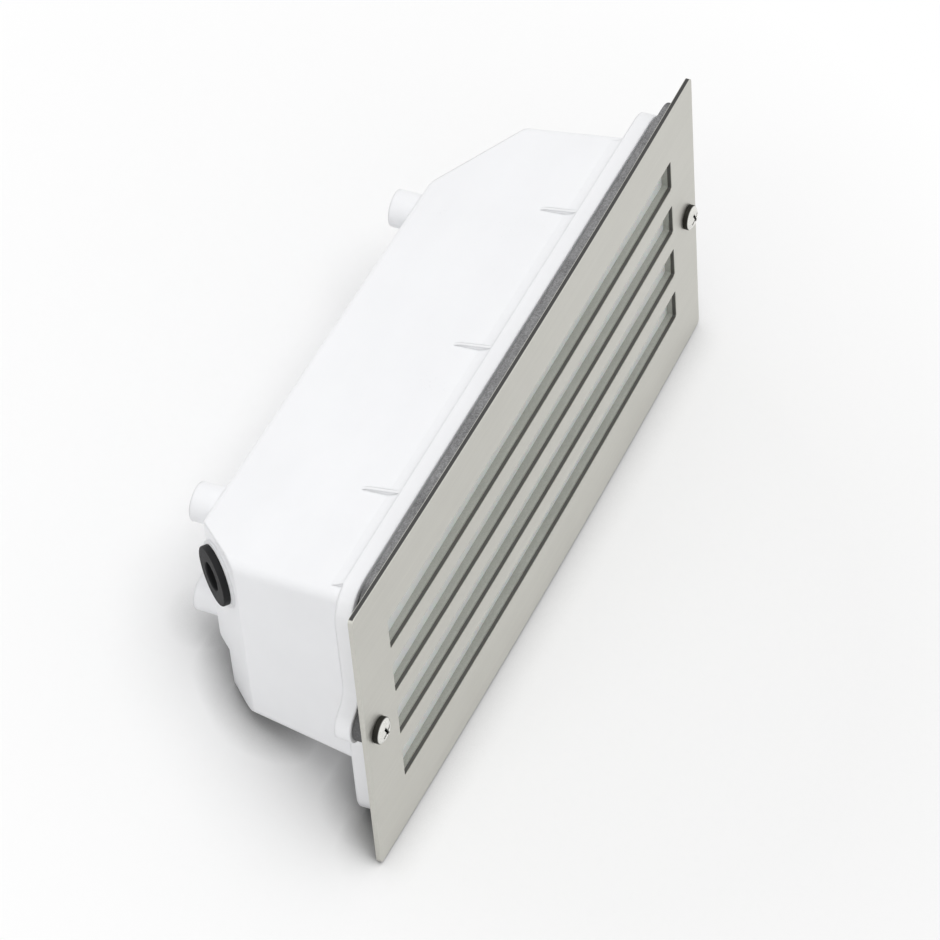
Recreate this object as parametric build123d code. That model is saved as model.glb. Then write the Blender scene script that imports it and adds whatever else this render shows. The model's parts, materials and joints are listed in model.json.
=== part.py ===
from build123d import *
import math
import os

# Recessed wall light. X runs along the plate, -Y faces the room, +Z is up.
# The origin is the plate's centre, on the plane where the gasket meets the wall.

# Front plate, bowed towards the room
plate_length = 240.0
plate_height = 101.0
plate_thickness = 1.5
plate_bow = 1.13
plate_corner_radius = 1.5
plate_edge_radius = 0.3
slot_count = 4
slot_end_margin = 18.5
slot_height = 11.1
slot_pitch = 17.75
slot_corner_radius = 0.8

# Gasket behind the plate
gasket_end_thickness = 1.5
gasket_margin_x = 8.0
gasket_margin_z = 0.3
gasket_corner_radius = 8.0
adhesive_film = 0.05
pad_inset = 0.8
pad_gap = 0.2
pad_overlap = 2.0

# Diffuser and its seal
diffuser_thickness = 2.0
diffuser_margin = 1.8
seal_margin = 0.6
seal_width = 1.8
seal_height = 1.8
seal_groove_depth = 1.0
seal_side_gap = 0.1

# Cover screws, their retainers and inserts
cover_screw_radius = 1.95
cover_screw_length = 12.0
cover_head_radius = 4.0
cover_head_height = 2.6
cover_head_rim = 1.3
screw_end_margin = 7.0
plate_hole_clearance = 0.3
head_seat_gap = 0.02
recess_width = 1.0
recess_span = 4.4
recess_depth = 1.3
recess_turn = 25.0
retainer_thickness = 1.2
retainer_width = 1.6
retainer_clearance = 0.05
retainer_room = 0.4
thread_clearance = 0.06
insert_wall = 0.8
insert_gap = 0.02
ear_wall = 2.8
ear_blend_radius = 8.0

# Housing flange and body
flange_margin_x = 9.0
flange_margin_z = 4.5
flange_thickness = 5.0
flange_corner_radius = 10.0
well_rib = 1.0
well_depth = 2.5
body_margin_left = 3.0
body_margin_right = 15.0
body_margin_top = 2.0
body_margin_bottom = 21.3
body_rear = 58.0
body_draft_angle = 5.0
body_corner_front = 3.0
body_corner_rear = 4.0
cavity_corner_radius = 1.5
rear_edge_radius = 2.0
housing_wall = 3.2
step_height = 17.7
step_depth = 5.5
left_chamfer_run = 17.0
left_chamfer_depth = 16.5
right_chamfer_run = 37.5
right_chamfer_depth = 19.7
flare_length = 8.0
flare_height = 1.6
top_rib_width = 1.2
top_rib_length = 12.0
top_rib_height = 0.8
top_rib_offset = -61.0
top_rib_pitch = 62.0
top_rib_count = 3

# Posts on the rear face, drilled for wall screws
post_radius = 5.85
post_height = 8.0
post_hole_radius = 2.25
post_left_inset = 12.0
post_lower_left_inset = 7.0
post_right_inset = 5.5
post_top_inset = 11.5
post_step_rise = 8.0

# Cable grommet on the rear-left chamfer
hub_radius = 10.0
hub_height = 0.8
grommet_drop = 17.0
grommet_shift = 1.0
grommet_flange_radius = 9.0
grommet_flange_height = 2.0
grommet_neck_radius = 7.0
grommet_neck_gap = 0.02
grommet_lip_radius = 8.3
grommet_lip_height = 2.0
grommet_bore_radius = 4.25
grommet_edge_radius = 0.5

# Small self-tapping screws inside the housing
tapping_radius = 1.4
tapping_head_radius = 2.8
tapping_head_height = 2.0
tapping_length = 7.0
tapping_fit = 0.02
screw_hole_clearance = 0.25
boss_radius = 4.0

# Lamp
lamp_axis_depth = 25.0
lamp_rise = 2.35
cap_radius = 6.9
cap_wall = 0.4
cap_length = 21.0
bulb_radius = 17.5
bulb_length = 76.0
bulb_wall = 1.0
bulb_neck_length = 3.0
bulb_neck_gap = 0.1
insulator_length = 2.0
eyelet_radius = 2.4
eyelet_height = 0.9

# Lampholder
shell_clearance = 0.1
shell_wall = 0.8
shell_fit = 0.02
skirt_wall = 2.7
skirt_length = 26.0
holder_floor = 3.0
holder_base_radius = 13.0
holder_base_length = 10.0
holder_base_wall = 2.0
contact_thickness = 0.4
contact_width = 4.0
contact_gap = 0.1
rivet_radius = 1.1
rivet_tail = 1.5
nipple_radius = 5.0
nipple_bore_radius = 3.4
nut_across_flats = 14.0
nut_thickness = 3.0
nut_stand_out = 1.5

# Lampholder bracket
bracket_thickness = 1.5
bracket_width = 24.0
bracket_foot = 15.0
bracket_seat_height = 5.0
bracket_front = 12.0
bracket_bend_radius = 1.0
bracket_screw_spacing = 12.0
wiring_room = 22.0

# Reflector
reflector_thickness = 0.6
reflector_overrun = 5.5
reflector_flat = 31.0
reflector_gap = 4.5
reflector_start_gap = 4.0
reflector_front = 12.0
reflector_top_gap = 2.4
reflector_bottom_gap = 1.6
reflector_screw_inset = 16.0

# Terminal block
terminal_length = 17.0
terminal_width = 20.0
terminal_height = 13.0
terminal_inset = 15.5
terminal_pole_pitch = 11.0
terminal_pad_height = 3.0
terminal_pad_margin = 1.0
clamp_length = 11.0
clamp_side = 5.6
clamp_gap = 0.05
clamp_bore_radius = 1.5
clamp_depth = 5.0
clamp_screw_radius = 1.2
clamp_screw_length = 4.2
clamp_screw_spacing = 6.4
terminal_entry_radius = 1.8
terminal_screw_head_recess = 3.0

# Wires
wire_radius = 1.1
wire_offset = 2.0
wire_exit_run = 6.0
wire_drop_run = 4.0
wire_bend_share = 0.45

# Room by which a layer is made too long before it is cut to its outline
trim_room = 2.0

# Places worked out from the sizes above
plate_front_end = -(gasket_end_thickness + plate_thickness)
plate_front_mid = plate_front_end - plate_bow
gasket_length = plate_length - 2 * gasket_margin_x
gasket_height = plate_height - 2 * gasket_margin_z
slot_length = plate_length - 2 * slot_end_margin
flange_length = plate_length - 2 * flange_margin_x
flange_height = plate_height - 2 * flange_margin_z
screw_x = plate_length / 2 - screw_end_margin
retainer_bore_radius = cover_screw_radius + retainer_clearance
retainer_radius = retainer_bore_radius + retainer_width
insert_bore_radius = cover_screw_radius + thread_clearance
insert_radius = insert_bore_radius + insert_wall
ear_radius = insert_radius + ear_wall
flange_front = diffuser_thickness + seal_height - seal_groove_depth
flange_rear = flange_front + flange_thickness
draft = math.tan(math.radians(body_draft_angle))
body_left = -flange_length / 2 + body_margin_left
body_right = flange_length / 2 - body_margin_right
body_top = flange_height / 2 - body_margin_top
body_bottom = -flange_height / 2 + body_margin_bottom
body_length = body_right - body_left
body_height = body_top - body_bottom
body_shift_x = (body_left + body_right) / 2
body_shift_z = (body_bottom + body_top) / 2
rear_inner = body_rear - housing_wall
rear_left = body_left + left_chamfer_run
rear_right = body_right - right_chamfer_run
step_z = body_bottom + step_height
upper_post_z = body_top - post_top_inset
lower_post_z = step_z + post_step_rise
posts = [
    (rear_left + post_left_inset, upper_post_z),
    (rear_left + post_lower_left_inset, lower_post_z),
    (rear_right - post_right_inset, upper_post_z),
    (rear_right - post_right_inset, lower_post_z),
]
lamp_axis_z = body_shift_z + lamp_rise
terminal_x = rear_left + terminal_inset
terminal_z = (upper_post_z + lower_post_z) / 2
terminal_rear = rear_inner - terminal_pad_height
terminal_front = terminal_rear - terminal_height
terminal_poles = [terminal_z - terminal_pole_pitch / 2, terminal_z + terminal_pole_pitch / 2]
clamp_axis_depth = terminal_rear - clamp_depth
bracket_face = terminal_x + terminal_length / 2 + wiring_room
bracket_seat = rear_inner - bracket_seat_height
bracket_screw_x = bracket_face - bracket_thickness - bracket_foot / 2
bracket_screw_places = [
    (bracket_screw_x, lamp_axis_z - bracket_screw_spacing / 2),
    (bracket_screw_x, lamp_axis_z + bracket_screw_spacing / 2),
]
holder_floor_rear = bracket_face + holder_base_length
holder_floor_front = holder_floor_rear + holder_floor
eyelet_x = holder_floor_front + 3 * contact_thickness + contact_gap
cap_x = eyelet_x + eyelet_height + insulator_length
bulb_x = cap_x + cap_length
reflector_seat = lamp_axis_depth + bulb_radius + reflector_gap + reflector_thickness
reflector_start = bracket_face + reflector_start_gap
reflector_end = rear_right + reflector_overrun
reflector_wall = housing_wall + (reflector_front - flange_rear) * draft
reflector_screw_places = [
    (reflector_start + reflector_screw_inset, lamp_axis_z),
    (reflector_end - reflector_screw_inset, lamp_axis_z),
]


def prism(sketch, near, far):
    """Solid from a sketch drawn in X and Z, between two depths along Y."""
    return extrude(Plane.XZ.offset(-far) * sketch, amount=far - near)


def post(x, z, radius, near, far):
    """Round bar along Y."""
    return prism(Pos(x, z) * Circle(radius), near, far)


def lamp_place(x):
    """Plane across the lamp's axis at one place along it; its normal is +X."""
    return Plane(origin=(x, lamp_axis_depth, lamp_axis_z), x_dir=(0, 1, 0), z_dir=(1, 0, 0))


def tube(outer, inner, x_from, x_to):
    """Tube on the lamp's axis."""
    ring = Circle(outer) - Circle(inner)
    return extrude(lamp_place(x_from) * ring, amount=x_to - x_from)


def bow(x, offset):
    """Depth of the bowed surface that lies a given distance behind the plate's front."""
    return plate_front_mid + offset + plate_bow * (2 * x / plate_length) ** 2


def bow_edge(reach, offset):
    """Line of a bowed surface in plan, a parabola from end to end."""
    end = bow(reach, offset)
    pull = 2 * bow(0, offset) - end
    return Bezier((-reach, end), (0, pull), (reach, end))


def slots():
    """The plate's slots, as a sketch in X and Z."""
    slot = RectangleRounded(slot_length, slot_height, slot_corner_radius)
    return Sketch() + GridLocations(0, slot_pitch, 1, slot_count) * slot


def screw_holes(radius):
    """Sketch of a round hole on each cover screw."""
    return Sketch() + Locations((-screw_x, 0), (screw_x, 0)) * Circle(radius)


def bowed_layer(outline, front_edge, rear_edge):
    """Layer between two lines in plan, cut to an outline."""
    ends = [Line(front_edge @ 0, rear_edge @ 0), Line(front_edge @ 1, rear_edge @ 1)]
    plan = make_face([front_edge, rear_edge] + ends)
    layer = extrude(plan, amount=plate_height, both=True)
    return layer & prism(outline, -plate_height, plate_height)


def pierced(layer, hole_radius):
    """The layer with the slots and the screw holes cut through it."""
    for cut in (slots(), screw_holes(hole_radius)):
        layer -= prism(cut, -plate_height, plate_height)
    return layer


def front_plate():
    reach = plate_length / 2 + trim_room
    outline = RectangleRounded(plate_length, plate_height, plate_corner_radius)
    layer = bowed_layer(outline, bow_edge(reach, 0), bow_edge(reach, plate_thickness))
    plate = pierced(layer, cover_screw_radius + plate_hole_clearance)
    rim = [edge for edge in plate.edges() if on_front_rim(edge)]
    return fillet(rim, plate_edge_radius)


def on_front_rim(edge):
    """True for an outer edge of the plate's front face."""
    middle = edge @ 0.5
    on_front = abs(middle.Y - bow(middle.X, 0)) < 1e-3
    at_side = abs(middle.X) > plate_length / 2 - plate_corner_radius
    at_top = abs(middle.Z) > plate_height / 2 - plate_corner_radius
    return on_front and (at_side or at_top)


def plate_gasket():
    """Foam between plate and wall, with a pad at each end that reaches back to the housing's ear."""
    reach = gasket_length / 2 + trim_room
    outline = RectangleRounded(gasket_length, gasket_height, gasket_corner_radius)
    wall_plane = Line((-reach, 0), (reach, 0))
    foam = bowed_layer(outline, bow_edge(reach, plate_thickness + adhesive_film), wall_plane)
    near = bow(screw_x + ear_radius, plate_thickness) + adhesive_film
    foam += prism(ear_pads(), near, flange_front - pad_gap)
    return pierced(foam, retainer_radius + retainer_room)


def ear_pads():
    """Outline of the pads: the housing's ears, drawn in, as far inwards as the gasket's ends reach."""
    ears = offset(eared_outline(), -pad_inset)
    middle = Rectangle(gasket_length - 2 * pad_overlap, 2 * plate_height)
    return ears - middle


def flange_outline(inset):
    """The flange's rounded rectangle, drawn in by an inset."""
    corner = flange_corner_radius - inset
    return RectangleRounded(flange_length - 2 * inset, flange_height - 2 * inset, corner)


def eared_outline():
    """The flange with an ear round each cover screw, blended into its ends."""
    sketch = flange_outline(0) + Pos(-screw_x, 0) * Circle(ear_radius) + Pos(screw_x, 0) * Circle(ear_radius)
    inside_corners = [point for point in sketch.vertices() if abs(point.Y) < ear_radius]
    return fillet(inside_corners, ear_blend_radius)


def diffuser():
    return prism(flange_outline(diffuser_margin), 0, diffuser_thickness)


def seal_ring(side_gap):
    """Sketch of the seal, or of its groove where the gap is larger than zero."""
    outer = diffuser_margin + seal_margin
    return flange_outline(outer - side_gap) - flange_outline(outer + seal_width + side_gap)


def diffuser_seal():
    return prism(seal_ring(0), diffuser_thickness, diffuser_thickness + seal_height)


def cover_screw(x):
    """Pan-head screw with a cross recess, its head towards the room."""
    seat = bow(screw_x - cover_head_radius, 0) - head_seat_gap
    head_rim = Line((cover_head_radius, 0), (cover_head_radius, cover_head_rim))
    crown = ThreePointArc(
        (cover_head_radius, cover_head_rim),
        (cover_head_radius * 0.72, cover_head_height * 0.86),
        (0, cover_head_height),
    )
    profile = Polyline(
        (0, cover_head_height),
        (0, -cover_screw_length),
        (cover_screw_radius * 0.6, -cover_screw_length),
        (cover_screw_radius, -cover_screw_length + cover_screw_radius * 0.6),
        (cover_screw_radius, 0),
        (cover_head_radius, 0),
    )
    half_section = make_face(Plane.XZ * (profile + head_rim + crown))
    screw = revolve(half_section, Axis.Z)
    cross = Rectangle(recess_span, recess_width) + Rectangle(recess_width, recess_span)
    recess_floor = cover_head_height - recess_depth
    recess = Pos(0, 0, recess_floor) * Rot(0, 0, recess_turn) * extrude(cross, amount=2 * recess_depth)
    place = Plane(origin=(x, seat, 0), x_dir=(1, 0, 0), z_dir=(0, -1, 0))
    return place * (screw - recess)


def retainer(x):
    ring = Circle(retainer_radius) - Circle(retainer_bore_radius)
    near = bow(screw_x - retainer_radius, plate_thickness) + adhesive_film + retainer_width * 0.1
    return prism(Pos(x, 0) * ring, near, near + retainer_thickness)


def threaded_insert(x):
    ring = Circle(insert_radius) - Circle(insert_bore_radius)
    return prism(Pos(x, 0) * ring, flange_front, flange_rear)


def tapered_block(inset, near, far, corner_near, corner_far):
    """Body of the housing, or its cavity, narrowing towards the rear by the draft."""
    sections = []
    for depth, corner in ((near, corner_near), (far, corner_far)):
        drawn_in = 2 * (inset + (depth - flange_rear) * draft)
        outline = RectangleRounded(body_length - drawn_in, body_height - drawn_in, corner)
        sections.append(Plane.XZ.offset(-depth) * Pos(body_shift_x, body_shift_z) * outline)
    return loft(sections)


def side_x(side, depth):
    """X of the body's drafted left (-1) or right (+1) wall at a depth."""
    drawn_in = (depth - flange_rear) * draft
    return body_shift_x + side * (body_length / 2 - drawn_in)


def chamfer_plane(side):
    """Plane on a rear chamfer, facing outwards, with its local Y up."""
    if side < 0:
        rear_point = Vector(rear_left, body_rear, 0)
        side_depth = body_rear - left_chamfer_depth
    else:
        rear_point = Vector(rear_right, body_rear, 0)
        side_depth = body_rear - right_chamfer_depth
    side_point = Vector(side_x(side, side_depth), side_depth, 0)
    along = (side_point - rear_point).normalized()
    if side < 0:
        normal = along.cross(Vector(0, 0, 1))
    else:
        along = along * -1
        normal = along.cross(Vector(0, 0, 1))
    middle = (rear_point + side_point) * 0.5
    return Plane(origin=middle, x_dir=along, z_dir=normal)


def stepped_body(inset, near, far, corner_near, corner_far):
    """Tapered block with both rear chamfers and the step below them cut away."""
    block = tapered_block(inset, near, far, corner_near, corner_far)
    reach = 2 * body_length
    cutter = Box(reach, reach, reach, align=(Align.CENTER, Align.CENTER, Align.MIN))
    for side in (-1, 1):
        block -= chamfer_plane(side).offset(-inset) * cutter
    below = Pos(body_shift_x, step_z + inset - reach / 2) * Rectangle(reach, reach)
    return block - prism(below, body_rear - step_depth - inset, body_rear + reach)


def outer_body():
    body = stepped_body(0, flange_rear, body_rear, body_corner_front, body_corner_rear)
    rear_face = body.faces().sort_by(Axis.Y)[-1]
    return fillet(rear_face.edges(), rear_edge_radius)


def top_flare():
    """Concave sweep from the body's top up to the flange."""
    top_near = body_top
    top_far = body_top - flare_length * draft
    mid = (flange_rear + flare_length * 0.35, top_far + flare_height * 0.45)
    foot = top_near - housing_wall / 2
    curve = ThreePointArc((flange_rear, top_near + flare_height), mid, (flange_rear + flare_length, top_far))
    under = Polyline(
        (flange_rear + flare_length, top_far),
        (flange_rear + flare_length, foot - flare_length * draft),
        (flange_rear, foot - flare_length * draft),
        (flange_rear, top_near + flare_height),
    )
    side_view = make_face(Plane.YZ * (curve + under))
    length = body_length - 2 * body_corner_rear
    return Pos(body_shift_x, 0, 0) * extrude(side_view, amount=length / 2, both=True)


def top_ribs():
    """Low ribs on top of the body that run back from the flange."""
    ribs = []
    for index in range(top_rib_count):
        x = body_shift_x + top_rib_offset + index * top_rib_pitch
        foot = body_top - top_rib_length * draft - housing_wall / 2
        side_view = make_face(Plane.YZ * Polyline(
            (flange_rear, foot),
            (flange_rear, body_top + flare_height),
            (flange_rear + top_rib_length * 0.85, body_top - top_rib_length * draft + top_rib_height),
            (flange_rear + top_rib_length, body_top - top_rib_length * draft),
            (flange_rear + top_rib_length, foot),
            close=True,
        ))
        ribs.append(Pos(x, 0, 0) * extrude(side_view, amount=top_rib_width / 2, both=True))
    return ribs


def grommet_plane():
    """Plane on the left chamfer at the cable's axis."""
    place = chamfer_plane(-1).location * Pos(-grommet_shift, body_top - grommet_drop)
    return Plane(place)


def grommet_bar(radius, low, high):
    """Round bar on the cable's axis, between two heights over the chamfer."""
    return extrude(grommet_plane().offset(low) * Circle(radius), amount=high - low)


def housing():
    solid = prism(eared_outline(), flange_front, flange_rear)
    solid += outer_body()
    solid += top_flare()
    for rib in top_ribs():
        solid += rib
    solid += grommet_bar(hub_radius, -housing_wall / 2, hub_height)
    for x, z in posts:
        solid += post(x, z, post_radius, body_rear - housing_wall / 2, body_rear + post_height)
    well_inset = diffuser_margin + seal_margin + seal_width + well_rib
    solid -= prism(flange_outline(well_inset), flange_front, flange_front + well_depth)
    solid -= prism(seal_ring(seal_side_gap), flange_front, flange_front + seal_groove_depth)
    solid -= stepped_body(housing_wall, flange_front + well_depth, rear_inner, cavity_corner_radius, cavity_corner_radius)
    solid += inner_bosses()
    for x in (-screw_x, screw_x):
        solid -= post(x, 0, insert_radius + insert_gap, flange_front, flange_rear)
    for x, z in posts:
        solid -= post(x, z, post_hole_radius, body_rear - 2 * housing_wall, body_rear + post_height)
    solid -= grommet_bar(grommet_neck_radius + grommet_neck_gap, -2 * housing_wall, hub_height)
    for x, z, seat in tapping_places():
        solid -= post(x, z, tapping_radius + tapping_fit, seat, seat + tapping_length - bracket_thickness)
    return solid


def inner_bosses():
    """Bosses and pads that stand on the inside of the rear wall."""
    far = rear_inner + housing_wall / 2
    bosses = [post(x, z, boss_radius, bracket_seat, far) for x, z in bracket_screw_places]
    bosses += [post(x, z, boss_radius, reflector_seat, far) for x, z in reflector_screw_places]
    pad_length = terminal_length - 2 * terminal_pad_margin
    pad_width = terminal_width - 2 * terminal_pad_margin
    bosses.append(prism(Pos(terminal_x, terminal_z) * Rectangle(pad_length, pad_width), terminal_rear, far))
    return bosses


def tapping_places():
    """Axis and seat of each pilot hole in the housing."""
    places = [(x, z, bracket_seat) for x, z in bracket_screw_places]
    places += [(x, z, reflector_seat) for x, z in reflector_screw_places]
    places.append((terminal_x, terminal_z, terminal_rear))
    return places


def tapping_screw(x, z, under_head, length):
    """Small pan-head screw that points to the rear."""
    shank = post(x, z, tapping_radius, under_head, under_head + length)
    head = post(x, z, tapping_head_radius, under_head - tapping_head_height, under_head)
    rim = head.edges().group_by(Axis.Y)[0]
    return fillet(rim, tapping_head_height / 2) + shank


def cable_grommet():
    neck_low = -housing_wall
    outer = grommet_bar(grommet_flange_radius, hub_height, hub_height + grommet_flange_height)
    neck = grommet_bar(grommet_neck_radius, neck_low, hub_height)
    lip = grommet_bar(grommet_lip_radius, neck_low - grommet_lip_height, neck_low)
    bore = grommet_bar(grommet_bore_radius, -2 * housing_wall, 2 * housing_wall)
    ring = outer + neck + lip - bore
    plane = grommet_plane()
    heights = [(edge, plane.to_local_coords(edge.center(CenterOf.BOUNDING_BOX)).Z) for edge in ring.edges()]
    top = hub_height + grommet_flange_height
    rim = [edge for edge, height in heights if abs(height - top) < 1e-3]
    return fillet(rim, grommet_edge_radius)


def lampholder_bracket():
    """L-shaped plate: a foot on the housing's bosses and an upright for the lampholder."""
    left = bracket_face - bracket_thickness - bracket_foot
    inner_x = bracket_face - bracket_thickness
    foot_front = bracket_seat - bracket_thickness
    plan = make_face(Polyline(
        (left, bracket_seat),
        (bracket_face, bracket_seat),
        (bracket_face, bracket_front),
        (inner_x, bracket_front),
        (inner_x, foot_front),
        (left, foot_front),
        close=True,
    ))
    plate = Pos(0, 0, lamp_axis_z) * extrude(plan, amount=bracket_width / 2, both=True)
    inside_bend = plate.edges().filter_by(Axis.Z).sort_by_distance((inner_x, foot_front, lamp_axis_z))[0]
    plate = fillet(inside_bend, bracket_bend_radius)
    for x, z in bracket_screw_places:
        plate -= post(x, z, tapping_radius + screw_hole_clearance, foot_front - 1, bracket_seat + 1)
    hole = extrude(lamp_place(inner_x) * Circle(nipple_radius + screw_hole_clearance), amount=bracket_thickness)
    return plate - hole


def lampholder_nut():
    left = bracket_face - bracket_thickness - nut_thickness
    side = nut_across_flats / math.sqrt(3)
    ring = RegularPolygon(side, 6) - Circle(nipple_radius + thread_clearance)
    return extrude(lamp_place(left) * ring, amount=nut_thickness)


def lampholder_nipple():
    left = bracket_face - bracket_thickness - nut_thickness - nut_stand_out
    return tube(nipple_radius, nipple_bore_radius, left, bracket_face + holder_base_wall)


def lampholder_base():
    """Rear moulding of the lampholder: a cup with the nipple's hole in its floor."""
    cup = tube(holder_base_radius, nipple_radius + thread_clearance, bracket_face, holder_floor_rear)
    room_radius = holder_base_radius - holder_base_wall
    room = extrude(lamp_place(bracket_face + holder_base_wall) * Circle(room_radius), amount=holder_base_length)
    return cup - room


def rivet_places():
    """Height of the live and the neutral rivet on the lampholder's floor."""
    return [lamp_axis_z - wire_offset, lamp_axis_z + wire_offset]


def lampholder_skirt():
    """Front moulding of the lampholder: a floor and a skirt round the threaded shell."""
    bore = cap_radius + shell_clearance + shell_wall + shell_fit
    floor = extrude(lamp_place(holder_floor_rear) * Circle(holder_base_radius), amount=holder_floor)
    skirt = floor + tube(bore + skirt_wall, bore, holder_floor_front, holder_floor_rear + skirt_length)
    for z in rivet_places():
        hole = Plane(origin=(holder_floor_rear, lamp_axis_depth, z), z_dir=(1, 0, 0)) * Circle(rivet_radius + shell_fit)
        skirt -= extrude(hole, amount=holder_floor)
    return skirt


def lampholder_shell():
    inner = cap_radius + shell_clearance
    return tube(inner + shell_wall, inner, holder_floor_front + contact_thickness, holder_floor_rear + skirt_length - 1)


def lampholder_contacts():
    """Centre tongue under the lamp's eyelet and side strip under the shell, each on its rivet."""
    live_z, neutral_z = rivet_places()
    base = holder_floor_front + contact_thickness / 2
    raised = base + 2 * contact_thickness
    tongue = Plane.XZ * trace(Polyline(
        (base, live_z - rivet_radius),
        (base, live_z + rivet_radius * 0.4),
        (raised, lamp_axis_z - rivet_radius * 0.6),
        (raised, lamp_axis_z + rivet_radius * 0.4),
    ), contact_thickness)
    shell_radius = cap_radius + shell_clearance + shell_wall / 2
    strip = Plane.XZ * trace(Line(
        (base, neutral_z - rivet_radius),
        (base, lamp_axis_z + shell_radius),
    ), contact_thickness)
    contacts = []
    for z, bar in ((live_z, tongue), (neutral_z, strip)):
        plane = Plane(origin=(holder_floor_rear - rivet_tail, lamp_axis_depth, z), z_dir=(1, 0, 0))
        rivet = extrude(plane * Circle(rivet_radius), amount=rivet_tail + holder_floor)
        metal = Pos(0, lamp_axis_depth, 0) * extrude(bar, amount=contact_width / 2, both=True)
        contacts.append(rivet + metal)
    return contacts


def lamp_cap():
    return tube(cap_radius, cap_radius - cap_wall, cap_x, bulb_x)


def lamp_insulator():
    """Cone that closes the cap's end round the eyelet."""
    big = lamp_place(cap_x) * Circle(cap_radius - cap_wall)
    small = lamp_place(cap_x - insulator_length) * Circle(eyelet_radius + cap_wall)
    plug = extrude(big, amount=insulator_length)
    return loft([small, big]) + plug


def lamp_eyelet():
    disc = extrude(lamp_place(eyelet_x) * Circle(eyelet_radius), amount=eyelet_height)
    return fillet(disc.edges().group_by(Axis.X)[0], eyelet_height / 2)


def bulb_profile(wall):
    """Candle outline as (radius, distance along the axis), drawn in by the glass."""
    neck = cap_radius - cap_wall - bulb_neck_gap - wall
    belly = bulb_radius - wall
    points = [
        (neck, bulb_neck_length),
        (belly * 0.72, bulb_length * 0.21),
        (belly, bulb_length * 0.42),
        (belly * 0.78, bulb_length * 0.66),
        (belly * 0.32, bulb_length * 0.88),
        (0, bulb_length - wall),
    ]
    return Line((neck, 0), points[0]) + Spline(points, tangents=[(0.1, 1), (-1, 0.25)])


def lamp_bulb():
    """Hollow candle-shaped glass, open at the neck inside the cap."""
    outer = bulb_profile(0)
    inner = bulb_profile(bulb_wall)
    rim = Line(outer @ 0, inner @ 0)
    tip = Line(outer @ 1, inner @ 1)
    half_section = make_face(Plane.XZ * (outer + inner + rim + tip))
    glass = revolve(half_section, Axis.Z)
    return lamp_place(bulb_x - bulb_neck_length) * glass


def reflector():
    """Sheet folded to a trough round the lamp, open to the room."""
    rear = reflector_seat - reflector_thickness / 2
    low = lamp_axis_z - reflector_flat / 2
    high = lamp_axis_z + reflector_flat / 2
    fold = Polyline(
        (reflector_front, body_bottom + reflector_wall + reflector_bottom_gap),
        (rear, low),
        (rear, high),
        (reflector_front, body_top - reflector_wall - reflector_top_gap),
    )
    section = Plane.YZ * trace(fold, reflector_thickness)
    sheet = Pos(reflector_start, 0, 0) * extrude(section, amount=reflector_end - reflector_start)
    for x, z in reflector_screw_places:
        sheet -= post(x, z, tapping_radius + screw_hole_clearance, rear - 1, rear + 1)
    return sheet


def terminal_screw_places():
    """Axis of each terminal screw in X and Z."""
    shifts = (-clamp_screw_spacing / 2, clamp_screw_spacing / 2)
    return [(terminal_x + shift, z) for z in terminal_poles for shift in shifts]


def terminal_block():
    body = prism(Pos(terminal_x, terminal_z) * Rectangle(terminal_length, terminal_width), terminal_front, terminal_rear)
    body = fillet(body.edges().filter_by(Axis.Y), 1.0)
    room = clamp_side + 2 * clamp_gap
    for z in terminal_poles:
        place = Pos(terminal_x, clamp_axis_depth, z)
        body -= place * Box(clamp_length + 2 * clamp_gap, room, room)
        body -= place * Rot(0, 90, 0) * Cylinder(terminal_entry_radius, terminal_length)
    for x, z in terminal_screw_places():
        body -= post(x, z, clamp_screw_radius + screw_hole_clearance, terminal_front, clamp_axis_depth)
    head_room = tapping_head_radius + screw_hole_clearance
    body -= post(terminal_x, terminal_z, tapping_radius + screw_hole_clearance, terminal_front, terminal_rear)
    recess_floor = terminal_front + terminal_screw_head_recess
    head_slot = Pos(terminal_x, terminal_z) * Circle(head_room)
    return body - prism(head_slot, terminal_front, recess_floor)


def terminal_clamps():
    clamps = []
    for z in terminal_poles:
        place = Pos(terminal_x, clamp_axis_depth, z)
        clamp = place * (Box(clamp_length, clamp_side, clamp_side) - Rot(0, 90, 0) * Cylinder(clamp_bore_radius, clamp_length))
        for x, screw_z in terminal_screw_places():
            if screw_z == z:
                hole_radius = clamp_screw_radius + thread_clearance
                clamp -= post(x, z, hole_radius, clamp_axis_depth - clamp_side, clamp_axis_depth)
        clamps.append(clamp)
    return clamps


def terminal_screws():
    """Slotted grub screws that press on the conductors."""
    screws = []
    tip = clamp_axis_depth - wire_radius
    head = tip - clamp_screw_length
    for x, z in terminal_screw_places():
        screw = post(x, z, clamp_screw_radius, head, tip)
        slot = Pos(x, z) * Rectangle(2 * clamp_screw_radius, clamp_screw_radius * 0.4)
        screws.append(screw - prism(slot, head, head + clamp_screw_radius * 0.7))
    return screws


def terminal_fixing_screw():
    seat = terminal_front + terminal_screw_head_recess
    length = terminal_rear - seat + tapping_length - 2 * bracket_thickness
    return tapping_screw(terminal_x, terminal_z, seat, length)


def wire(pole_z, holder_z):
    """Insulated lead from a terminal clamp through the nipple to a rivet of the lampholder."""
    start = Vector(terminal_x, clamp_axis_depth, pole_z)
    block_side = terminal_x + terminal_length / 2
    turn_out = Vector(block_side + wire_exit_run, clamp_axis_depth, pole_z)
    turn_in = Vector(turn_out.X + wire_drop_run, lamp_axis_depth, holder_z)
    end = Vector(holder_floor_rear - rivet_tail, lamp_axis_depth, holder_z)
    points = [start, turn_out, turn_in, end]
    route = FilletPolyline(*points, radius=bend_radii(points))
    section = Plane(origin=start, z_dir=(1, 0, 0)) * Circle(wire_radius)
    return sweep(section, path=route)


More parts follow.
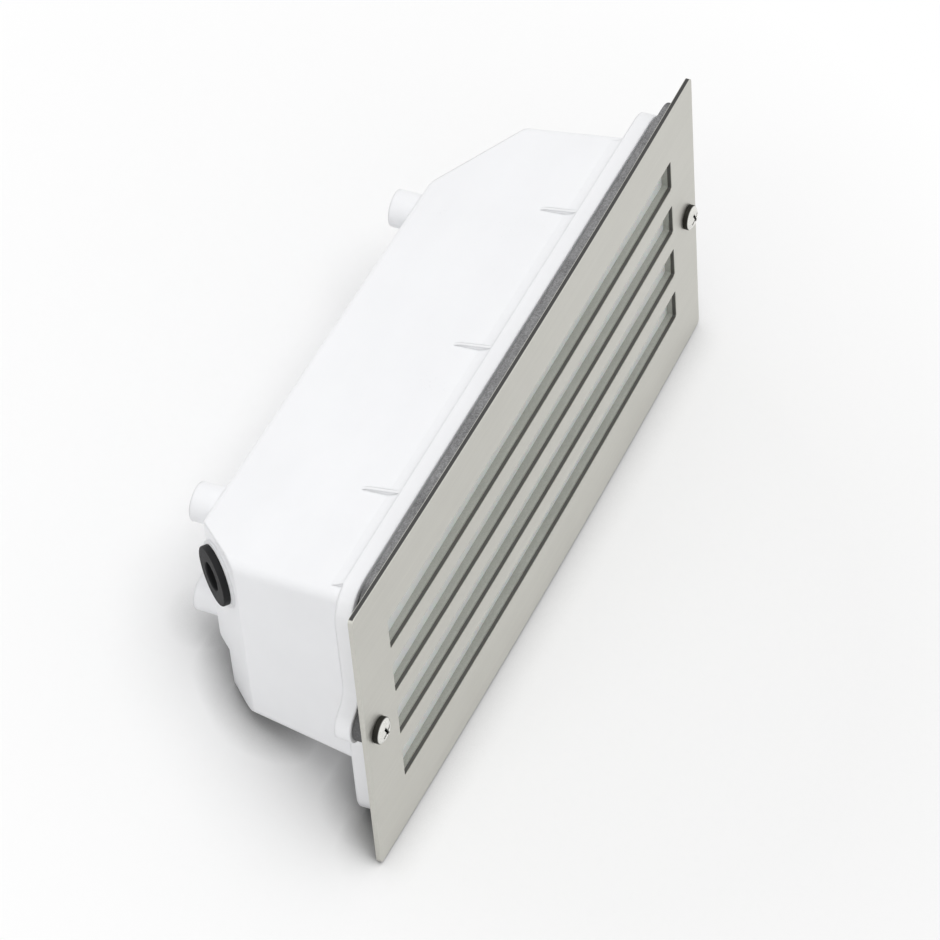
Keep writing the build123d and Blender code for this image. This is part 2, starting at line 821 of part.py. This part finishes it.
def bend_radii(points):
    """Radius of each bend of a wire, as large as its two runs allow."""
    radii = []
    for before, corner, after in zip(points, points[1:], points[2:]):
        half_turn = math.radians((corner - before).get_angle(after - corner)) / 2
        shorter = min((corner - before).length, (after - corner).length)
        radii.append(wire_bend_share * shorter / math.tan(half_turn))
    print("bend radii", [round(radius, 1) for radius in radii])
    return radii


def save(name, solids):
    """One file per sub-part; a list becomes a group of separate solids."""
    group = Compound(children=list(solids)) if isinstance(solids, list) else solids
    group.label = name
    export_step(group, os.path.join("parts", name + ".step"))


os.makedirs("parts", exist_ok=True)
live_z, neutral_z = rivet_places()
live_pole, neutral_pole = terminal_poles
bracket_under_head = bracket_seat - bracket_thickness
reflector_under_head = reflector_seat - reflector_thickness
save("front_plate", front_plate())
save("plate_gasket", plate_gasket())
save("diffuser", diffuser())
save("screw_retainers", [retainer(x) for x in (-screw_x, screw_x)])
save("cover_screw_left", cover_screw(-screw_x))
save("cover_screw_right", cover_screw(screw_x))
save("housing", housing())
save("diffuser_seal", diffuser_seal())
save("threaded_inserts", [threaded_insert(x) for x in (-screw_x, screw_x)])
save("cable_grommet", cable_grommet())
save("reflector", reflector())
save("reflector_screws", [tapping_screw(x, z, reflector_under_head, tapping_length - bracket_thickness)
                          for x, z in reflector_screw_places])
save("lampholder_bracket", lampholder_bracket())
save("bracket_screws", [tapping_screw(x, z, bracket_under_head, tapping_length) for x, z in bracket_screw_places])
save("lampholder_nut", lampholder_nut())
save("lampholder_nipple", lampholder_nipple())
save("lampholder_base", lampholder_base())
save("lampholder_skirt", lampholder_skirt())
save("lampholder_shell", lampholder_shell())
save("lampholder_contacts", lampholder_contacts())
save("lamp_cap", lamp_cap())
save("lamp_insulator", lamp_insulator())
save("lamp_eyelet", lamp_eyelet())
save("lamp_bulb", lamp_bulb())
save("terminal_block", terminal_block())
save("terminal_clamps", terminal_clamps())
save("terminal_screws", terminal_screws())
save("terminal_fixing_screw", terminal_fixing_screw())
save("wire_live", wire(live_pole, live_z))
save("wire_neutral", wire(neutral_pole, neutral_z))
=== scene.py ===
import bpy
import json
import math
from mathutils import Matrix, Vector


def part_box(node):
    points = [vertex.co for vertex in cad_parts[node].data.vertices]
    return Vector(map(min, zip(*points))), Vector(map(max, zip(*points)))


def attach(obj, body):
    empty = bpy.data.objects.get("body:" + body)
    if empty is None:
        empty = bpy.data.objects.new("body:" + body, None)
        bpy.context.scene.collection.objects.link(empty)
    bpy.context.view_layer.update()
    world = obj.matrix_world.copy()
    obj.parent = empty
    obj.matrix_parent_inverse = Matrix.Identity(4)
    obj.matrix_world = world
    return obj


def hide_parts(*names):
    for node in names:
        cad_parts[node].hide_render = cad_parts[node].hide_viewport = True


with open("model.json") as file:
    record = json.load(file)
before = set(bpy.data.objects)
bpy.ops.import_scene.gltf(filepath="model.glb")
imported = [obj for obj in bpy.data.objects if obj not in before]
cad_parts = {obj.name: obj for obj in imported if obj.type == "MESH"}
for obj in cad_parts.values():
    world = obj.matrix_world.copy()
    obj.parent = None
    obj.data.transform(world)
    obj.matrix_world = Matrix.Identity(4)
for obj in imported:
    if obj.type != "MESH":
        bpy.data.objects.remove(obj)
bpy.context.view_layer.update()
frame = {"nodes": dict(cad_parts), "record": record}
print("frame loaded:", len(frame["nodes"]), "nodes")

mm = 0.001   # the frame is in metres


class Dial:
    # one value of a node tree, so that maths on it reads as maths
    def __init__(self, tree, socket):
        self.tree = tree
        self.socket = socket

    def calc(self, operation, first, second):
        node = self.tree.nodes.new("ShaderNodeMath")
        node.operation = operation
        for place, value in zip(node.inputs, (first, second)):
            if isinstance(value, Dial):
                self.tree.links.new(value.socket, place)
            else:
                place.default_value = value
        return Dial(self.tree, node.outputs[0])

    def __add__(self, other):
        return self.calc("ADD", self, other)

    def __radd__(self, other):
        return self.calc("ADD", other, self)

    def __sub__(self, other):
        return self.calc("SUBTRACT", self, other)

    def __rsub__(self, other):
        return self.calc("SUBTRACT", other, self)

    def __mul__(self, other):
        return self.calc("MULTIPLY", self, other)

    def __rmul__(self, other):
        return self.calc("MULTIPLY", other, self)

    def __truediv__(self, other):
        return self.calc("DIVIDE", self, other)

    def __rtruediv__(self, other):
        return self.calc("DIVIDE", other, self)

    def __pow__(self, other):
        return self.calc("POWER", self, other)

    def __abs__(self):
        return self.calc("ABSOLUTE", self, 0.0)

    def larger(self, other):
        return self.calc("MAXIMUM", self, other)

    def sibling(self, out):
        # another output of the same node
        return Dial(self.tree, self.socket.node.outputs[out])


class Wiring:
    # a node tree that is being filled: nodes are made, set and linked in one call
    def __init__(self, tree):
        self.tree = tree

    def node(self, kind, settings=None, out=0, places=None, **inputs):
        made = self.tree.nodes.new(kind)
        for key, value in (settings or {}).items():
            setattr(made, key, value)
        for place, value in (places or {}).items():
            self.feed(made.inputs[place], value)
        for key, value in inputs.items():
            self.feed(made.inputs[key.replace("_", " ")], value)
        return None if out is None else Dial(self.tree, made.outputs[out])

    def feed(self, socket, value):
        if isinstance(value, list):   # several links into one place
            for single in value:
                self.tree.links.new(single.socket, socket)
        elif isinstance(value, Dial):
            self.tree.links.new(value.socket, socket)
        else:
            socket.default_value = value

    def seenRays(self):
        # 1 for what the camera sees, also in metal and through glass
        camera = self.node("ShaderNodeLightPath", out="Is Camera Ray")
        return camera + camera.sibling("Is Glossy Ray") + camera.sibling("Is Transmission Ray")


class Finish(Wiring):
    # a material under construction: its tree, its main shader and its object coordinates
    def __init__(self, name, **constants):
        self.material = bpy.data.materials.new(name)
        self.material.use_nodes = True
        super().__init__(self.material.node_tree)
        self.shader = self.tree.nodes["Principled BSDF"]
        self.place = self.node("ShaderNodeTexCoord", out="Object")
        for socket, value in constants.items():
            self.shader.inputs[socket.replace("_", " ")].default_value = value

    def stretched(self, scale, turn=(0, 0, 0)):
        return self.node("ShaderNodeMapping", Vector=self.place, Scale=scale, Rotation=turn, out="Vector")

    def axes(self):
        along = self.node("ShaderNodeSeparateXYZ", Vector=self.place)
        return along, along.sibling(1), along.sibling(2)

    def noise(self, vector, scale, detail=3.0, roughness=0.55):
        return self.node("ShaderNodeTexNoise", Vector=vector, Scale=scale, Detail=detail, Roughness=roughness)

    def ramp(self, value, low, high):
        return self.node("ShaderNodeMapRange", Value=value, From_Min=low, From_Max=high)

    def past(self, value, start, width):
        # 0 before the start, 1 once the value is past it by the width
        return self.ramp(value, start, start + width)

    def evened(self, value):
        # noise keeps mostly between 0.3 and 0.7, this spreads it from 0 to 1
        return self.ramp(value, 0.3, 0.7)

    def blend(self, factor, first, second):
        first = (*first, 1) if isinstance(first, tuple) else first
        second = (*second, 1) if isinstance(second, tuple) else second
        return self.node("ShaderNodeMix", {"data_type": "RGBA"}, 2, {0: factor, 6: first, 7: second})

    def relief(self, height, strength, distance, under=None):
        inputs = {"Height": height, "Strength": strength, "Distance": distance}
        if under is not None:
            inputs["Normal"] = under
        return self.node("ShaderNodeBump", **inputs)

    def softEdge(self, radius):
        return self.node("ShaderNodeBevel", {"samples": 6}, Radius=radius)

    def wear(self, **links):
        for socket, value in links.items():
            self.feed(self.shader.inputs[socket.replace("_", " ")], value)
        return self.material


brushedSteelLook = {
    "dark": (0.52, 0.513, 0.472), "light": (0.65, 0.643, 0.60),
    # the cut tones are painted shade on the cut edges; the top cut edge gets the darkest
    "cut": (0.11, 0.108, 0.10), "topCutPaintedShade": (0.035, 0.034, 0.033),
    "fineGrain": (40, 900, 5200), "broadGrain": (9, 120, 700), "clouds": 22.0,
    "rough": 0.38, "roughSpread": 0.14, "roughCut": 0.15,
    "bow": 1.13 * mm, "frontMiddle": -4.13 * mm, "half": 120 * mm, "top": 49.9 * mm,
    "wallFrom": 0.14 * mm, "wallTo": 1.3 * mm, "endFrom": 119.2 * mm,
}


def brushedSteel(look):
    # brushed along the plate; its cut edges, behind the bowed front, are duller, and their dark tone is painted shade,
    # darkest on the top edge
    finish = Finish("brushedSteel")
    fine = finish.noise(finish.stretched(look["fineGrain"]), 1.0, 4.0, 0.6)
    broad = finish.noise(finish.stretched(look["broadGrain"]), 1.0, 2.0)
    cloud = finish.noise(finish.place, look["clouds"])
    streak = finish.evened(fine * 0.6 + broad * 0.4)
    along, inward, up = finish.axes()
    behind = inward - look["frontMiddle"] - look["bow"] * (along / look["half"]) ** 2.0
    atEnd = finish.past(abs(along), look["endFrom"], 0.3 * mm)
    inWall = finish.past(behind, look["wallFrom"], 0.16 * mm) * (1.0 - finish.past(behind, look["wallTo"], 0.1 * mm))
    cut = inWall * (1.0 - atEnd)
    atTop = finish.past(up, look["top"], 0.3 * mm)
    face = finish.blend(streak * 0.6 + cloud * 0.4, look["dark"], look["light"])
    # painted shade on the cut edges, darkest on the top one; the plate's ends keep the face's tone
    color = finish.blend(cut, face, finish.blend(atTop, look["cut"], look["topCutPaintedShade"]))
    rough = look["rough"] + streak * look["roughSpread"] + cut * look["roughCut"]
    return finish.wear(Base_Color=color, Metallic=1.0 - cut * (0.5 + atTop * 0.4), Roughness=rough,
                       Normal=finish.relief(fine, 0.1, 0.05 * mm))


screwSteelLook = {
    # the darkest tone is painted shade in the cross recess and on the head's side
    "dark": (0.66, 0.655, 0.62), "light": (0.86, 0.855, 0.82), "paintedShade": (0.035, 0.034, 0.03),
    "centre": 113 * mm, "recess": 2.5 * mm, "recessFrom": -5.45 * mm, "recessTo": -4.4 * mm, "rim": 3.7 * mm,
    "clouds": 600.0, "rough": 0.2, "roughSpread": 0.16, "roughWhereShaded": 0.3,
}


def screwSteel(look):
    # bright domed head, with painted shade in its cross recess and round its rim
    finish = Finish("screwSteel", Metallic=1.0)
    cloud = finish.noise(finish.place, look["clouds"], 4.0)
    along, inward, up = finish.axes()
    offset = abs(along) - look["centre"]
    radius = (offset * offset + up * up) ** 0.5
    depth = finish.past(inward, look["recessFrom"], 0.2 * mm) * (1.0 - finish.past(inward, look["recessTo"], 0.2 * mm))
    inRecess = depth * (1.0 - finish.past(radius, look["recess"], 0.1 * mm))
    # painted shade: the cross recess and the head's side past its rim are darkened
    paintedShade = inRecess.larger(finish.past(radius, look["rim"], 0.2 * mm))
    color = finish.blend(paintedShade, finish.blend(cloud, look["dark"], look["light"]), look["paintedShade"])
    rough = look["rough"] + cloud * look["roughSpread"] + paintedShade * look["roughWhereShaded"]
    return finish.wear(Base_Color=color, Roughness=rough,
                       Normal=finish.relief(cloud, 0.15, 0.04 * mm, finish.softEdge(0.25 * mm)))


foamGreyLook = {
    "dark": (0.36, 0.37, 0.335), "light": (0.50, 0.51, 0.47),
    # rim tones; endShade is painted shade that darkens the rim's ends
    "rimDark": (0.08, 0.08, 0.082), "rimLight": (0.33, 0.33, 0.335), "endShade": 0.65,
    "pores": 2100.0, "clouds": 60.0, "rimTop": 35.5 * mm, "rimEnd": 104.5 * mm,
    "rough": 0.82, "roughSpread": 0.12,
}


def foamGrey(look):
    # lighter where the slots are cut through it, darker on its outer rim, and darker still at its ends, where painted
    # shade falls
    finish = Finish("foamGrey", Specular_IOR_Level=0.25)
    pores = finish.noise(finish.place, look["pores"], 4.0, 0.6)
    cloud = finish.noise(finish.place, look["clouds"])
    spread = finish.evened(pores * 0.7 + cloud * 0.3)
    along, _, up = finish.axes()
    rim = finish.past(abs(up), look["rimTop"], 0.5 * mm).larger(finish.past(abs(along), look["rimEnd"], 1.0 * mm))
    # painted shade: the rim's ends, beside the ears, are darkened
    atEnd = finish.past(abs(along), look["rimEnd"], 3.0 * mm)
    rimColor = finish.blend(spread * (1.0 - atEnd * look["endShade"]), look["rimDark"], look["rimLight"])
    color = finish.blend(rim, finish.blend(spread, look["dark"], look["light"]), rimColor)
    return finish.wear(Base_Color=color, Roughness=look["rough"] + pores * look["roughSpread"],
                       Normal=finish.relief(pores, 0.5, 0.2 * mm))


opalPanelLook = {
    "shade": (0.80, 0.81, 0.79), "light": (0.86, 0.865, 0.85), "clouds": 35.0, "grain": 900.0,
    "rough": 0.34, "roughSpread": 0.12, "edge": 0.3 * mm,
}


def opalPanel(look):
    finish = Finish("opalPanel", Subsurface_Weight=0.15, Subsurface_Scale=4 * mm, Specular_IOR_Level=0.4)
    grain = finish.noise(finish.place, look["grain"])
    color = finish.blend(finish.noise(finish.place, look["clouds"]), look["shade"], look["light"])
    return finish.wear(Base_Color=color, Roughness=look["rough"] + grain * look["roughSpread"],
                       Normal=finish.relief(grain, 0.08, 0.1 * mm, finish.softEdge(look["edge"])))


whiteMouldingLook = {
    "shade": (0.82, 0.825, 0.84), "light": (0.86, 0.865, 0.88), "edge": 1.1 * mm,
    "clouds": 28.0, "grain": 1400.0, "flow": (14, 60, 60),
    "rough": 0.22, "roughClouds": 0.1, "roughGrain": 0.06,
}


def whiteMoulding(look):
    # cool white with rounded edges, a faint grain and faint flow marks along the body
    finish = Finish("whiteMoulding", Specular_IOR_Level=0.36)
    cloud = finish.noise(finish.place, look["clouds"], 4.0)
    grain = finish.noise(finish.place, look["grain"])
    flow = finish.noise(finish.stretched(look["flow"]), 1.0)
    color = finish.blend(finish.evened(cloud * 0.6 + flow * 0.4), look["shade"], look["light"])
    rough = look["rough"] + cloud * look["roughClouds"] + grain * look["roughGrain"]
    return finish.wear(Base_Color=color, Roughness=rough,
                       Normal=finish.relief(grain, 0.1, 0.12 * mm, finish.softEdge(look["edge"])))


blackRubberLook = {
    "shade": (0.006, 0.006, 0.007), "light": (0.012, 0.012, 0.013), "clouds": 120.0, "grain": 1200.0,
    "rough": 0.5, "roughSpread": 0.2, "edge": 0.4 * mm,
}


def blackRubber(look):
    finish = Finish("blackRubber", Specular_IOR_Level=0.2)
    grain = finish.noise(finish.place, look["grain"], 4.0)
    color = finish.blend(finish.noise(finish.place, look["clouds"]), look["shade"], look["light"])
    return finish.wear(Base_Color=color, Roughness=look["rough"] + grain * look["roughSpread"],
                       Normal=finish.relief(grain, 0.2, 0.1 * mm, finish.softEdge(look["edge"])))


opalGlassLook = {"shade": (0.84, 0.84, 0.82), "light": (0.90, 0.90, 0.88), "clouds": 60.0, "rough": 0.18,
                 "roughSpread": 0.08}


def opalGlass(look):
    finish = Finish("opalGlass", Subsurface_Weight=0.3, Subsurface_Scale=6 * mm, Coat_Weight=0.6)
    cloud = finish.noise(finish.place, look["clouds"])
    return finish.wear(Base_Color=finish.blend(cloud, look["shade"], look["light"]),
                       Roughness=look["rough"] + cloud * look["roughSpread"])


# name, darker and lighter tone, roughness of the plain mouldings inside and on the leads
plasticLooks = {
    "retainer_plastic": ("retainerPlastic", (0.02, 0.02, 0.02), (0.03, 0.03, 0.03), 0.45),
    "seal_rubber": ("sealRubber", (0.03, 0.03, 0.03), (0.05, 0.05, 0.05), 0.6),
    "holder_moulding": ("holderMoulding", (0.012, 0.012, 0.013), (0.024, 0.023, 0.022), 0.35),
    "insulator_glass": ("insulatorGlass", (0.01, 0.01, 0.012), (0.02, 0.02, 0.022), 0.12),
    "terminal_nylon": ("terminalNylon", (0.66, 0.64, 0.56), (0.74, 0.72, 0.65), 0.4),
    "wire_brown": ("wireBrown", (0.07, 0.025, 0.01), (0.10, 0.035, 0.015), 0.3),
    "wire_blue": ("wireBlue", (0.015, 0.06, 0.25), (0.02, 0.08, 0.32), 0.3),
}


def mouldedPlastic(name, shade, light, rough):
    finish = Finish(name, Specular_IOR_Level=0.45)
    grain = finish.noise(finish.place, 1500.0)
    color = finish.blend(finish.noise(finish.place, 90.0), shade, light)
    return finish.wear(Base_Color=color, Roughness=rough + grain * 0.1,
                       Normal=finish.relief(grain, 0.12, 0.1 * mm, finish.softEdge(0.3 * mm)))


# the same for the small metal parts
metalLooks = {
    "insert_brass": ("insertBrass", (0.48, 0.31, 0.12), (0.66, 0.46, 0.20), 0.3),
    "reflector_sheet": ("reflectorSheet", (0.80, 0.80, 0.81), (0.88, 0.88, 0.89), 0.18),
    "zinc_steel": ("zincSteel", (0.45, 0.46, 0.48), (0.62, 0.63, 0.64), 0.32),
    "contact_brass": ("contactBrass", (0.55, 0.38, 0.15), (0.72, 0.53, 0.24), 0.28),
    "cap_nickel": ("capNickel", (0.58, 0.57, 0.54), (0.72, 0.71, 0.67), 0.22),
}


def turnedMetal(name, shade, light, rough):
    finish = Finish(name, Metallic=1.0)
    cloud = finish.noise(finish.place, 140.0, 4.0)
    lines = finish.noise(finish.stretched((300, 2600, 300)), 1.0)
    color = finish.blend(finish.evened(cloud * 0.5 + lines * 0.5), shade, light)
    return finish.wear(Base_Color=color, Roughness=rough + cloud * 0.14,
                       Normal=finish.relief(lines, 0.15, 0.05 * mm, finish.softEdge(0.2 * mm)))


finishes = {
    "plate_steel": brushedSteel(brushedSteelLook),
    "screw_steel": screwSteel(screwSteelLook),
    "gasket_foam": foamGrey(foamGreyLook),
    "opal_panel": opalPanel(opalPanelLook),
    "housing_plastic": whiteMoulding(whiteMouldingLook),
    "grommet_rubber": blackRubber(blackRubberLook),
    "bulb_glass": opalGlass(opalGlassLook),
}
finishes.update({slot: mouldedPlastic(*look) for slot, look in plasticLooks.items()})
finishes.update({slot: turnedMetal(*look) for slot, look in metalLooks.items()})
slotOf = {part["node"]: part["material_slot"] for part in frame["record"]["subparts"]}
for name, piece in frame["nodes"].items():
    finish = finishes[slotOf[name]]
    if not piece.material_slots:
        piece.data.materials.append(finish)
    for place in piece.material_slots:
        place.material = finish
print("finishes done:", len(finishes))


# the front plate follows a rule: slots of one size at one pitch, on a shallow bow
plateSize = {
    "Length": 240 * mm, "Height": 101 * mm, "Corner": 1.5 * mm, "Thickness": 1.5 * mm,
    "Bow": 1.13 * mm, "End Front": -3 * mm,
    "Slots": 4, "Slot Length": 203 * mm, "Slot Height": 11.1 * mm, "Slot Pitch": 17.75 * mm, "Slot Corner": 0.8 * mm,
    "Screw Spacing": 226 * mm, "Hole Radius": 2.25 * mm, "Step": 3 * mm,
}
plateEdge = {"width": 0.22 * mm, "segments": 2, "sharperThan": 40}


def plateTree(sizes, finish):
    tree = bpy.data.node_groups.new("slottedPlate", "GeometryNodeTree")
    for name, value in sizes.items():
        kind = "NodeSocketInt" if isinstance(value, int) else "NodeSocketFloat"
        tree.interface.new_socket(name, in_out="INPUT", socket_type=kind)
    tree.interface.new_socket("Plate", in_out="OUTPUT", socket_type="NodeSocketGeometry")
    wiring = Wiring(tree)
    given = wiring.node("NodeGroupInput")
    size = {name: given.sibling(name) for name in sizes}

    def vector(x=0.0, y=0.0, z=0.0):
        return wiring.node("ShaderNodeCombineXYZ", X=x, Y=y, Z=z)

    def rounded(width, height, radius):
        square = wiring.node("GeometryNodeCurvePrimitiveQuadrilateral", Width=width, Height=height)
        return wiring.node("GeometryNodeFilletCurve", {"mode": "POLY"}, Curve=square, Count=6, Radius=radius,
                           Limit_Radius=True)

    def repeated(shape, count, start, step):
        line = wiring.node("GeometryNodeMeshLine", Count=count, Start_Location=start, Offset=step)
        copies = wiring.node("GeometryNodeInstanceOnPoints", Points=line, Instance=shape)
        return wiring.node("GeometryNodeRealizeInstances", Geometry=copies)

    slot = rounded(size["Slot Length"], size["Slot Height"], size["Slot Corner"])
    lowest = size["Slot Pitch"] * (1 - size["Slots"]) * 0.5
    slots = repeated(slot, size["Slots"], vector(y=lowest), vector(y=size["Slot Pitch"]))
    hole = wiring.node("GeometryNodeCurvePrimitiveCircle", Resolution=40, Radius=size["Hole Radius"])
    holes = repeated(hole, 2, vector(x=size["Screw Spacing"] * -0.5), vector(x=size["Screw Spacing"]))
    outline = rounded(size["Length"], size["Height"], size["Corner"])
    curves = wiring.node("GeometryNodeJoinGeometry", Geometry=[outline, slots, holes])

    # long runs get points, so that the fill can follow the bow
    here = wiring.node("GeometryNodeInputPosition")
    following = wiring.node("GeometryNodeOffsetPointInCurve", Offset=1, out="Point Index")
    there = wiring.node("GeometryNodeFieldAtIndex", {"data_type": "FLOAT_VECTOR"}, Index=following, Value=here)
    gap = wiring.node("ShaderNodeVectorMath", {"operation": "DISTANCE"}, "Value", {0: here, 1: there})
    curves = wiring.node("GeometryNodeSubdivideCurve", Curve=curves, Cuts=gap / size["Step"])
    sheet = wiring.node("GeometryNodeFillCurve", {"mode": "TRIANGLES"}, Curve=curves)
    front = wiring.node("GeometryNodeExtrudeMesh", {"mode": "FACES"}, Mesh=sheet, Offset_Scale=size["Thickness"],
                        Individual=False)
    back = wiring.node("GeometryNodeFlipFaces", Mesh=sheet)
    closed = wiring.node("GeometryNodeJoinGeometry", Geometry=[front, back])
    closed = wiring.node("GeometryNodeMergeByDistance", Geometry=closed, Distance=1e-6)

    # stood up to face the room, and bowed
    x = wiring.node("ShaderNodeSeparateXYZ", Vector=here)
    share = x * 2.0 / size["Length"]
    rear = size["End Front"] + size["Thickness"] - size["Bow"] * (1.0 - share * share)
    placed = wiring.node("GeometryNodeSetPosition", Geometry=closed,
                         Position=vector(x, rear - x.sibling("Z"), x.sibling("Y")))
    single = wiring.node("GeometryNodeRealizeInstances", Geometry=placed)
    dressed = wiring.node("GeometryNodeSetMaterial", Geometry=single, Material=finish)
    wiring.node("NodeGroupOutput", out=None, Plate=dressed)
    return tree


def grown(name, tree, sizes):
    # runs a tree on an empty mesh and keeps the result as a plain mesh
    seed = bpy.data.objects.new(name + "Seed", bpy.data.meshes.new(name + "Seed"))
    bpy.context.collection.objects.link(seed)
    modifier = seed.modifiers.new("shape", "NODES")
    modifier.node_group = tree
    for item in tree.interface.items_tree:
        if item.in_out == "INPUT":
            modifier[item.identifier] = sizes[item.name]
    evaluated = seed.evaluated_get(bpy.context.evaluated_depsgraph_get())
    mesh = bpy.data.meshes.new_from_object(evaluated)
    mesh.name = name
    bpy.data.objects.remove(seed)
    piece = bpy.data.objects.new(name, mesh)
    bpy.context.collection.objects.link(piece)
    return piece


def makePlate(sizes, edge):
    plate = grown("slottedFrontPlate", plateTree(sizes, finishes["plate_steel"]), sizes)
    bevel = plate.modifiers.new("brokenEdge", "BEVEL")
    bevel.width = edge["width"]
    bevel.segments = edge["segments"]
    bevel.limit_method = "ANGLE"
    bevel.angle_limit = math.radians(edge["sharperThan"])
    bevel.use_clamp_overlap = True
    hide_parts("front_plate")
    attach(plate, "cover")
    print("front plate:", len(plate.data.polygons), "faces before its edges are broken")


makePlate(plateSize, plateEdge)


# the camera, solved from the plate's corners, slots and screws
cameraSetup = {
    "eye": (-0.7689, -0.3849, 0.8557),
    "right": (0.4097, -0.9101, -0.0625),
    "down": (-0.6641, -0.2506, -0.7044),
    "forward": (0.6254, 0.3301, -0.7070),
    "focalPixels": 4135.924,
    "imagePixels": 940,
    "sensor": 36.0,
}


def makeCamera(setup):
    data = bpy.data.cameras.new("photoCamera")
    data.sensor_width = setup["sensor"]
    data.lens = setup["focalPixels"] * setup["sensor"] / setup["imagePixels"]
    data.clip_start = 0.05
    data.clip_end = 20
    camera = bpy.data.objects.new("photoCamera", data)
    bpy.context.collection.objects.link(camera)
    right, down, forward = (Vector(setup[key]) for key in ("right", "down", "forward"))
    turn = Matrix((right, -down, -forward)).transposed().to_4x4()
    camera.matrix_world = Matrix.Translation(setup["eye"]) @ turn
    bpy.context.scene.camera = camera


makeCamera(cameraSetup)
print("camera done")


# the floor under the light, which lies on its plate's lower edge and the housing's lower rear edge
floorSetup = {
    "reach": 1.6, "solid": 0.11, "fade": 0.26,   # plain white by the end of the fade
    # the crevice colour is painted shade where the housing and plate come close to the floor
    "albedo": 0.90, "crevice": 12 * mm, "paintedCreviceShade": (0.06, 0.06, 0.062),
    "rearPieces": ("housing", "cable_grommet"), "rearFrom": 20 * mm,
}


def restingPlane(setup):
    # the plate's lowest edge, and the slope of the flattest line from it that stays under the pieces behind
    low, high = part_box("front_plate")
    pivot = Vector((0, high.y, low.z))
    corners = [vertex.co - pivot for name in setup["rearPieces"] for vertex in frame["nodes"][name].data.vertices]
    slope = min(corner.z / corner.y for corner in corners if corner.y > setup["rearFrom"])
    return pivot, math.atan(slope)


def makeFloor(setup):
    pivot, slope = restingPlane(setup)
    bpy.ops.mesh.primitive_plane_add(size=2 * setup["reach"])
    floor = bpy.context.object
    floor.name = "paleFloor"
    floor.matrix_world = Matrix.Translation(pivot) @ Matrix.Rotation(slope, 4, "X")
    floor.data.materials.append(floorFinish(setup))
    print("floor done, slope", round(math.degrees(slope), 2))


def floorFinish(setup):
    # pale and matt, with painted shade in the crevice under the light; far away it turns white, and from below it's
    # clear
    finish = Finish("paleFloor", Roughness=0.9, Specular_IOR_Level=0.1)
    grain = finish.noise(finish.place, 400.0)
    # painted shade: the floor's colour darkens where the housing and plate are near
    openness = finish.node("ShaderNodeAmbientOcclusion", {"samples": 8}, "AO", Distance=setup["crevice"])
    tone = openness * (0.985 + grain * 0.03)
    finish.wear(Base_Color=finish.blend(tone, setup["paintedCreviceShade"], (setup["albedo"],) * 3))
    distance = finish.node("ShaderNodeVectorMath", {"operation": "LENGTH"}, "Value", {0: finish.place})
    far = finish.ramp(distance, setup["solid"], setup["fade"])
    white = finish.node("ShaderNodeEmission", Color=(1, 1, 1, 1), Strength=1.0)
    surface = Dial(finish.tree, finish.shader.outputs[0])
    above = finish.node("ShaderNodeMixShader", places={0: far * finish.seenRays(), 1: surface, 2: white})
    below = finish.node("ShaderNodeNewGeometry", out="Backfacing")
    clear = finish.node("ShaderNodeBsdfTransparent")
    shown = finish.node("ShaderNodeMixShader", places={0: below, 1: above, 2: clear})
    finish.feed(finish.tree.nodes["Material Output"].inputs["Surface"], shown)
    return finish.material


makeFloor(floorSetup)


# a pale room, a large soft panel above and a smaller one from the left
lightSetup = {
    "room": 0.68,
    "panels": {
        "overhead": {"from": (0.0, -0.28, 1.00), "power": 9.5, "size": 1.35, "distance": 1.5},
        "left": {"from": (-0.92, 0.12, 0.80), "power": 1.9, "size": 0.40, "distance": 1.5},
    },
}


def makeRoom(strength):
    # it lights the object softly and is seen as plain white
    world = bpy.data.worlds.new("paleRoom")
    bpy.context.scene.world = world
    world.use_nodes = True
    wiring = Wiring(world.node_tree)
    lit = wiring.node("ShaderNodeBackground", Color=(1, 1, 1, 1), Strength=strength)
    white = wiring.node("ShaderNodeBackground", Color=(1, 1, 1, 1), Strength=1.0)
    mixed = wiring.node("ShaderNodeMixShader", places={0: wiring.seenRays(), 1: lit, 2: white})
    wiring.feed(world.node_tree.nodes["World Output"].inputs["Surface"], mixed)


def makePanel(name, setup):
    data = bpy.data.lights.new(name, "AREA")
    data.shape = "DISK"
    data.size = setup["size"]
    data.energy = setup["power"]
    panel = bpy.data.objects.new(name, data)
    bpy.context.collection.objects.link(panel)
    direction = Vector(setup["from"]).normalized()
    panel.location = direction * setup["distance"]
    panel.rotation_mode = "QUATERNION"
    panel.rotation_quaternion = direction.to_track_quat("Z", "Y")


makeRoom(lightSetup["room"])
for name, setup in lightSetup["panels"].items():
    makePanel(name, setup)
print("room and panels done")

bpy.context.scene.view_settings.view_transform = "Standard"
